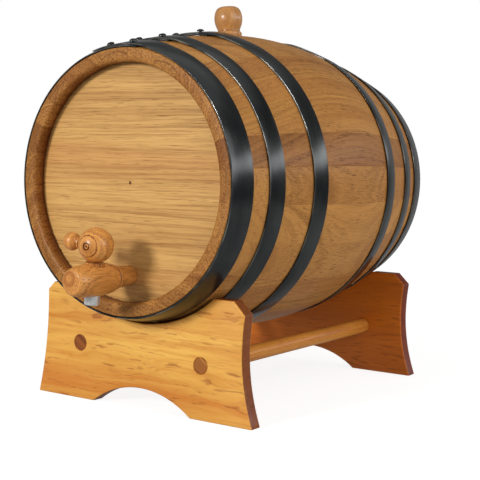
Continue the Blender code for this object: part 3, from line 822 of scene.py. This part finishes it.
SHANK_RADIUS = 0.0083               # of the tap's tail, where it meets the head's face
SHANK_TAPER = 0.045
TAP_CLEARANCE = 0.00025
TAP_BORE_RADIUS = 0.0042
BALL_RADIUS = 0.0144
BALL_HEIGHT = 0.0282                # above the tap's axis
KNOB_RADIUS = 0.0074
KNOB_DISTANCE = 0.0232              # from the ball's middle
HANDLE_TURN = math.radians(8.0)     # of the handle on its stem
KNOB_WAY = (-math.cos(HANDLE_TURN), -math.sin(HANDLE_TURN), 0.0)
PEG_WAY = (math.sin(HANDLE_TURN), -math.cos(HANDLE_TURN), 0.0)
KEY_FRAME = rolled(KEY_POINT, TAP_TURN)


def to_tap(mesh):
    """From a shape turned about Z to the tap's axis, forwards from the head."""
    mesh.transform(turned_to((0, -1, 0), (0, 0, 0)))
    mesh.transform(rolled(tap_origin(), TAP_TURN))


def tap_tool(name, profile, direction=None, centre=(0, 0, 0)):
    """Tool solid in the key's frame."""
    mesh = lathe(name, profile, 48)
    if direction:
        mesh.transform(turned_to(direction, centre))
    mesh.transform(KEY_FRAME)
    return link(name, mesh)


def make_tap_body(materials):
    """Turned body on its tapered tail, with the bore, the plug's socket and the spout's socket."""
    tail = [(0, -0.0220), (shank_radius(-0.022) - 0.0006, -0.0220), (shank_radius(-0.021), -0.0214)]
    tail += [(shank_radius(d), d) for d in (-0.010, 0.0, 0.010, 0.0176)]
    collar = curve_through([(0.0093, 0.0180), (0.0100, 0.0186), (0.0104, 0.0196), (0.0104, 0.0208),
                            (0.0101, 0.0214), (0.0097, 0.0220)], 3)
    bulge = curve_through([(0.0108, 0.0227), (0.0114, 0.0238), (0.0121, 0.0262), (0.0130, 0.0310),
                           (0.0136, 0.0375), (0.0137, 0.0440), (0.0136, 0.0500), (0.0131, 0.0570),
                           (0.0122, 0.0630), (0.0113, 0.0669), (0.0104, 0.0688), (0.0094, 0.0697),
                           (0.0080, 0.0700)], 4)
    mesh = lathe("tap_body", tail + collar + bulge + [(0, 0.0700)], 72)
    to_tap(mesh)
    piece = link("fine_tap_body", mesh)
    bore = lathe("tap_bore", ((TAP_BORE_RADIUS, -0.04), (TAP_BORE_RADIUS, KEY_DISTANCE)), 40)
    to_tap(bore)
    boolean(piece, link("tap_bore", bore))
    boolean(piece, tap_tool("socket", ((0.0073, -0.0083), (0.0086, 0.0183))))
    boolean(piece, tap_tool("outlet", ((0.0066, -0.03), (0.0066, 0.0))))
    inverse = rolled(tap_origin(), TAP_TURN).inverted()

    def mapping(point):
        p = inverse @ point
        return p.y, p.x + 0.002, p.z - 0.002

    # Painted shade in the crease between the collar and the bulge.
    def dark_wood_and_painted_shade(point):
        d = -(inverse @ point).y
        return 0.9 if 0.0212 < d < 0.0225 else 0.0

    set_wood(piece.data, mapping, 800, -0.1, dark_wood_and_painted_shade)
    finish_piece(piece, "tap", ["tap_body"], materials["tap"], 35)


def make_plug(materials):
    """Tapered plug with a stem, a side port and an axial bore."""
    profile = [(0.0066, -0.0080), (0.0070, -0.0076), (0.0081, 0.0139), (0.0078, 0.0143), (0.0046, 0.0144),
               (0.0045, 0.0318)]
    mesh = lathe("plug", profile, 64)
    mesh.transform(KEY_FRAME)
    piece = link("fine_tap_plug", mesh)
    bore = ((TAP_BORE_RADIUS, -0.02), (TAP_BORE_RADIUS, 0.0030), (0.0030, 0.0042))
    boolean(piece, tap_tool("plug_bore", bore))
    port = ((TAP_BORE_RADIUS, 0.0), (TAP_BORE_RADIUS, 0.02))
    boolean(piece, tap_tool("plug_port", port, (0, 1, 0)))
    set_wood(piece.data, lambda p: (p.z, p.x, p.y), 810, -0.3, 0.3)
    finish_piece(piece, "key", ["tap_plug"], materials["tap"], 35)


def handle_profile():
    """Ball, grooved neck and small knob, as (radius, distance towards the knob)."""
    points = [(0, -BALL_RADIUS)] + [(r, h) for h, r in arc((0, 0), BALL_RADIUS, 176, 26, 48)]
    neck_radius, neck_start = points[-1]
    points += [(neck_radius - 0.0006, neck_start + 0.0002), (0.0052, 0.0136), (0.0049, 0.0143),
               (0.0055, 0.0149), (0.0056, 0.0155), (0.0050, 0.0161), (0.0045, 0.0167)]
    points += [(r, h) for h, r in arc((KNOB_DISTANCE, 0), KNOB_RADIUS, 142, 0, 20)]
    return points[:-1] + [(0, KNOB_DISTANCE + KNOB_RADIUS)]


def make_handle(materials):
    """Turned handle with a socket for the stem, a hole for the peg and a fine groove round the peg."""
    mesh = lathe("handle", handle_profile(), 96)
    mesh.transform(turned_to(KNOB_WAY, (0, 0, BALL_HEIGHT)))
    mesh.transform(KEY_FRAME)
    piece = link("fine_tap_handle", mesh)
    centre = (0, 0, BALL_HEIGHT)
    boolean(piece, tap_tool("stem_socket", ((0.0048, 0.0), (0.0048, 0.0321))))
    peg_hole = ((0.0027, 0.0051), (0.0027, 0.0136), (0.0033, 0.0146))
    boolean(piece, tap_tool("peg_hole", peg_hole, PEG_WAY, centre))
    tool = ring("ring_groove", ((0.0083, 0.0120), (0.0086, 0.0113), (0.0089, 0.0120)), 64)
    tool.transform(turned_to(PEG_WAY, centre))
    tool.transform(KEY_FRAME)
    boolean(piece, link("ring_groove", tool))
    inverse = (KEY_FRAME @ Matrix.Rotation(HANDLE_TURN, 4, "Z")).inverted()

    def mapping(point):
        p = inverse @ point
        return p.y, p.x - 0.001, p.z - BALL_HEIGHT + 0.001

    # Painted shade in the neck's grooves, in the gap round the peg and in the ring groove.
    def dark_wood_and_painted_shade(point):
        p = inverse @ point
        along = -p.x
        from_peg = math.hypot(p.x, p.z - BALL_HEIGHT)
        if 0.0130 < along < 0.0147 or 0.0158 < along < 0.0170:
            return 0.8
        if p.y < -0.011 and (from_peg < 0.0034 or abs(from_peg - 0.0086) < 0.0002):
            return 0.9
        return 0.0

    set_wood(piece.data, mapping, 820, -0.05, dark_wood_and_painted_shade)
    finish_piece(piece, "key", ["tap_handle"], materials["tap"], 35)


def make_peg(materials):
    """Peg end in the handle's front, with a small centre hole."""
    profile = [(0, 0.0054), (0.0024, 0.0054), (0.0024, 0.0132), (0.0020, 0.0138), (0.0008, 0.0139),
               (0.0005, 0.0130), (0, 0.0128)]
    mesh = lathe("peg", profile, 32)
    # Painted shade in the centre hole; the rest of the peg a little darker.
    set_number(mesh, "dark_wood_and_painted_shade", lambda p: 1.0 if p.z > 0.012 and math.hypot(p.x, p.y) < 0.0007 else 0.25)
    mesh.transform(turned_to(PEG_WAY, (0, 0, BALL_HEIGHT)))
    mesh.transform(KEY_FRAME)
    set_grain(mesh, lambda p: (p.y, p.x, p.z), 830)
    set_number(mesh, "tone", -0.4)
    finish_piece(link("fine_tap_peg", mesh), "key", ["tap_peg"], materials["tap"], 35)


def make_spout(materials):
    """Short bright tube under the body."""
    outer, inner = 0.0063, 0.0046
    top, end = -0.0086, -0.0202
    section = [(inner, top), (outer, top), (outer, end + 0.0005)]
    section += arc((outer - 0.0005, end + 0.0005), 0.0005, 0, -90, 4)
    section += arc((inner + 0.0005, end + 0.0005), 0.0005, -90, -180, 4)
    mesh = ring("spout", section, 64)
    mesh.transform(KEY_FRAME)
    set_grain(mesh, lambda p: (p.z, p.x, p.y), 840)
    finish_piece(link("fine_tap_spout", mesh), "tap", ["tap_spout"], materials["bright"], 40)


# -------------------------------- cradle

SHOULDER_HEIGHT = 0.102
# Side edges, as (distance from the middle, height): shoulder, end of its chamfer, waist and foot
FRONT_LEFT_EDGE = ((0.1015, 0.1020), (0.1085, 0.0950), (0.1086, 0.0880), (0.1200, 0.0))
FRONT_RIGHT_EDGE = ((0.0965, 0.1020), (0.1074, 0.0910), (0.1049, 0.0600), (0.1160, 0.0))
REAR_EDGE = ((0.0985, 0.1020), (0.1096, 0.0915), (0.1070, 0.0600), (0.1182, 0.0))
ARCH = (0.0535, 0.0182)             # half width and height
RAIL_RADIUS = 0.0072
RAIL_CLEARANCE = 0.0002
BOARD_PITH_DROP = 0.2               # below the floor
RAIL_PLACES = {"left_rail": (-0.0690, 0.0502), "right_rail": (0.0643, 0.0459)}


def side_outline(edge):
    """One side edge of a board: shoulder, chamfer, then a waisted curve down to the foot."""
    shoulder, (top_x, top_z), (waist_x, waist_z), (foot_x, _) = edge
    points = [shoulder]
    for i in range(9):
        z = top_z - (top_z - waist_z) * i / 8
        points.append((waist_x + (top_x - waist_x) * ((z - waist_z) / (top_z - waist_z)) ** 2, z))
    for i in range(1, 17):
        z = waist_z * (1 - i / 16)
        points.append((waist_x + (foot_x - waist_x) * (1 - z / waist_z) ** 2, z))
    return points


def board_outline(saddle, left_edge, right_edge):
    """Closed outline of a cradle board, in (x, z)."""
    end = math.degrees(math.asin((BARREL_CENTRE.z - SHOULDER_HEIGHT) / saddle))
    top = arc((0, BARREL_CENTRE.z), saddle, -180 + end, -end, 72)
    arch_radius = (ARCH[0] ** 2 + ARCH[1] ** 2) / (2 * ARCH[1])
    spread = math.degrees(math.asin(ARCH[0] / arch_radius))
    under = arc((0, ARCH[1] - arch_radius), arch_radius, 90 - spread, 90 + spread, 40)
    left = [(-x, z) for x, z in reversed(side_outline(left_edge))]
    return top + side_outline(right_edge) + under + left


def make_board(material, node, outline, seed):
    """One cradle board with rounded edges and its rails' holes. Its sawn edges are darker than its faces."""
    low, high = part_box(node)
    mesh = skin(node, [[(x, y, z) for x, z in outline] for y in (low.y, high.y)])
    piece = link(f"fine_{node}", mesh)
    round_edges(piece, 0.0011, 3, 50)
    for x, z in RAIL_PLACES.values():
        radius = RAIL_RADIUS + RAIL_CLEARANCE
        hole = lathe("rail_hole", ((radius, low.y - 0.01), (radius, high.y + 0.01)), 48)
        hole.transform(Matrix.Rotation(-math.pi / 2, 4, "X"))
        hole.transform(Matrix.Translation((x, 0, z)))
        boolean(piece, link("rail_hole", hole))

    def dark_wood_and_painted_shade(point):
        return 1.0 if low.y + 0.001 < point.y < high.y - 0.001 else 0.0

    set_wood(piece.data, lambda p: (p.x, p.z + BOARD_PITH_DROP, p.y), seed, 0.0, dark_wood_and_painted_shade)
    finish_piece(piece, "cradle", [node], material, 40)


def make_rail(materials, node, tone, seed):
    """Round rail with eased ends, flush with the boards' faces."""
    low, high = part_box(node)
    x, z = RAIL_PLACES[node]
    ease = 0.0004
    profile = [(0, low.y), (RAIL_RADIUS - ease, low.y), (RAIL_RADIUS, low.y + ease)]
    profile += [(RAIL_RADIUS, low.y + (high.y - low.y) * i / 12) for i in range(1, 12)]
    profile += [(RAIL_RADIUS, high.y - ease), (RAIL_RADIUS - ease, high.y), (0, high.y)]
    mesh = lathe(node, profile, 48)
    mesh.transform(Matrix.Rotation(-math.pi / 2, 4, "X"))
    mesh.transform(Matrix.Translation((x, 0, z)))

    def mapping(point):
        return point.y, 0.6 * (point.x - x) + 0.8 * (point.z - z) + 0.03, 0.0

    def dark_wood_and_painted_shade(point):
        return 0.0 if low.y + 0.0002 <= point.y <= high.y - 0.0002 else 0.6

    set_wood(mesh, mapping, seed, tone, dark_wood_and_painted_shade)
    finish_piece(link(f"fine_{node}", mesh), "cradle", [node], materials["rail"], 40)


def make_cradle(materials):
    """Two boards and two rails."""
    _, front_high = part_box("front_board")
    front_contact = outer_radius(front_high.y - BARREL_CENTRE.y)
    front = board_outline(front_contact + GAP, FRONT_LEFT_EDGE, FRONT_RIGHT_EDGE)
    make_board(materials["board"], "front_board", front, 900)
    rear_contact = outer_radius(HOOP_EDGES[0][1]) + HOOP_CLEARANCE + HOOP_THICKNESS
    rear = board_outline(rear_contact + GAP, REAR_EDGE, REAR_EDGE)
    make_board(materials["rear_board"], "rear_board", rear, 901)
    make_rail(materials, "left_rail", -0.8, 902)
    make_rail(materials, "right_rail", -0.1, 903)


# -------------------------------- stage, lights and camera

CAMERA_AZIMUTH = 34.649
CAMERA_ELEVATION = 4.481
CAMERA_DISTANCE = 1.0284
CAMERA_ROLL = 1.0
CAMERA_LENS = 81.3
TARGET = Vector((0.0058, 0.0, -0.0556))     # from the barrel's centre
FLOOR_RADIUS = 1.5
FLOOR_BRIGHTNESS = 0.85
FRONT_LIGHT = 0.35
# Brightness of the surroundings behind the barrel, as (elevation in degrees, value)
REAR_LEFT_LIGHT = ((-90, 0.30), (15, 0.30), (28, 0.12), (42, 0.12), (55, 0.60), (90, 0.60))
REAR_RIGHT_LIGHT = ((-90, 0.50), (-14, 0.50), (-8, 0.08), (7, 0.08), (9.5, 4.8), (15, 4.8), (17.5, 0.10),
                    (40, 0.12), (55, 0.60), (90, 0.60))


def make_camera():
    """Camera at the reference view."""
    a, e = math.radians(CAMERA_AZIMUTH), math.radians(CAMERA_ELEVATION)
    back = Vector((math.cos(e) * math.sin(a), -math.cos(e) * math.cos(a), math.sin(e)))
    right = (-back).cross(Vector((0, 0, 1))).normalized()
    up = right.cross(-back)
    roll = math.radians(CAMERA_ROLL)
    right, up = right * math.cos(roll) + up * math.sin(roll), up * math.cos(roll) - right * math.sin(roll)
    data = bpy.data.cameras.new("camera")
    data.lens = CAMERA_LENS
    data.sensor_width = 36.0
    camera = bpy.data.objects.new("camera", data)
    bpy.context.scene.collection.objects.link(camera)
    turn = Matrix((right, up, back)).transposed().to_4x4()
    camera.matrix_world = Matrix.Translation(BARREL_CENTRE + TARGET + back * CAMERA_DISTANCE) @ turn
    bpy.context.scene.camera = camera


def make_floor():
    """Plain pale floor that neither lights the barrel nor shows in its hoops."""
    shape = bmesh.new()
    bmesh.ops.create_circle(shape, cap_ends=True, segments=96, radius=FLOOR_RADIUS)
    floor = link("floor", mesh_of("floor", shape))
    floor.visible_diffuse = False
    floor.visible_glossy = False
    n = Nodes("floor")
    n.set(Base_Color=(0.3, 0.3, 0.3), Roughness=0.9, Specular_IOR_Level=0.1, Emission_Color=(1.0, 1.0, 1.0),
          Emission_Strength=FLOOR_BRIGHTNESS)
    floor.data.materials.append(n.material)


def make_light(name, azimuth, elevation, distance, size, power, colour=(1.0, 1.0, 1.0)):
    """Soft rectangular light that faces the barrel."""
    a, e = math.radians(azimuth), math.radians(elevation)
    toward = Vector((math.cos(e) * math.sin(a), -math.cos(e) * math.cos(a), math.sin(e)))
    data = bpy.data.lights.new(name, "AREA")
    data.shape = "RECTANGLE"
    data.size, data.size_y = size
    data.energy = power
    data.color = colour
    light = bpy.data.objects.new(name, data)
    bpy.context.scene.collection.objects.link(light)
    light.matrix_world = turned_to(toward, BARREL_CENTRE + toward * distance)


def sky_ramp(tree, height, stops):
    """Brightness by elevation, from (degrees, value) stops."""
    ramp = tree.nodes.new("ShaderNodeValToRGB")
    tree.links.new(height, ramp.inputs["Fac"])
    elements = ramp.color_ramp.elements
    while len(elements) < len(stops):
        elements.new(0.5)
    for element, (elevation, value) in zip(elements, stops):
        element.position = 0.5 + 0.5 * math.sin(math.radians(elevation))
        element.color = (value, value, value, 1.0)
    return ramp.outputs["Color"]


def sky_mix(tree, source, low, high, a, b):
    """From a to b as the source goes from low to high."""
    share = tree.nodes.new("ShaderNodeMapRange")
    share.inputs["From Min"].default_value = low
    share.inputs["From Max"].default_value = high
    tree.links.new(source, share.inputs["Value"])
    mix = tree.nodes.new("ShaderNodeMix")
    mix.data_type = "RGBA"
    tree.links.new(share.outputs["Result"], mix.inputs[0])
    for value, socket in ((a, mix.inputs[6]), (b, mix.inputs[7])):
        if isinstance(value, bpy.types.NodeSocket):
            tree.links.new(value, socket)
        else:
            socket.default_value = (value, value, value, 1.0)
    return mix.outputs[2]


def make_world():
    """White to the camera. Otherwise even in front, and dark behind with a bright band on the right."""
    world = bpy.data.worlds.new("studio")
    world.use_nodes = True
    bpy.context.scene.world = world
    tree = world.node_tree
    coordinates = tree.nodes.new("ShaderNodeTexCoord")
    split = tree.nodes.new("ShaderNodeSeparateXYZ")
    tree.links.new(coordinates.outputs["Generated"], split.inputs[0])
    height = tree.nodes.new("ShaderNodeMapRange")
    height.inputs["From Min"].default_value = -1.0
    tree.links.new(split.outputs["Z"], height.inputs["Value"])
    left = sky_ramp(tree, height.outputs["Result"], REAR_LEFT_LIGHT)
    right = sky_ramp(tree, height.outputs["Result"], REAR_RIGHT_LIGHT)
    rear = sky_mix(tree, split.outputs["X"], 0.25, 0.55, left, right)
    around = sky_mix(tree, split.outputs["Y"], 0.0, 0.25, FRONT_LIGHT, rear)
    path = tree.nodes.new("ShaderNodeLightPath")
    seen = sky_mix(tree, path.outputs["Is Camera Ray"], 0.0, 1.0, around, 1.0)
    tree.links.new(seen, tree.nodes["Background"].inputs["Color"])


def make_lights():
    """Key from the front, a little left of and above the barrel, and a broad weak one on its right."""
    make_light("key", -12.0, 15.0, 2.2, (0.45, 0.45), 30.0, (1.0, 0.99, 0.97))
    make_light("side", 84.0, 20.0, 2.5, (2.2, 1.6), 26.0)


def build():
    """Everything in the scene."""
    bpy.context.scene.view_settings.view_transform = "Standard"
    materials = make_materials()
    make_staves(materials)
    make_head(materials, "front", -1, (0.0, 0.05, -0.05))
    make_head(materials, "rear", 1, (-0.1, 0.1, 0.0))
    make_hoops(materials)
    make_bung(materials)
    make_tap_body(materials)
    make_plug(materials)
    make_handle(materials)
    make_peg(materials)
    make_spout(materials)
    make_cradle(materials)
    make_floor()
    make_world()
    make_lights()
    make_camera()


build()
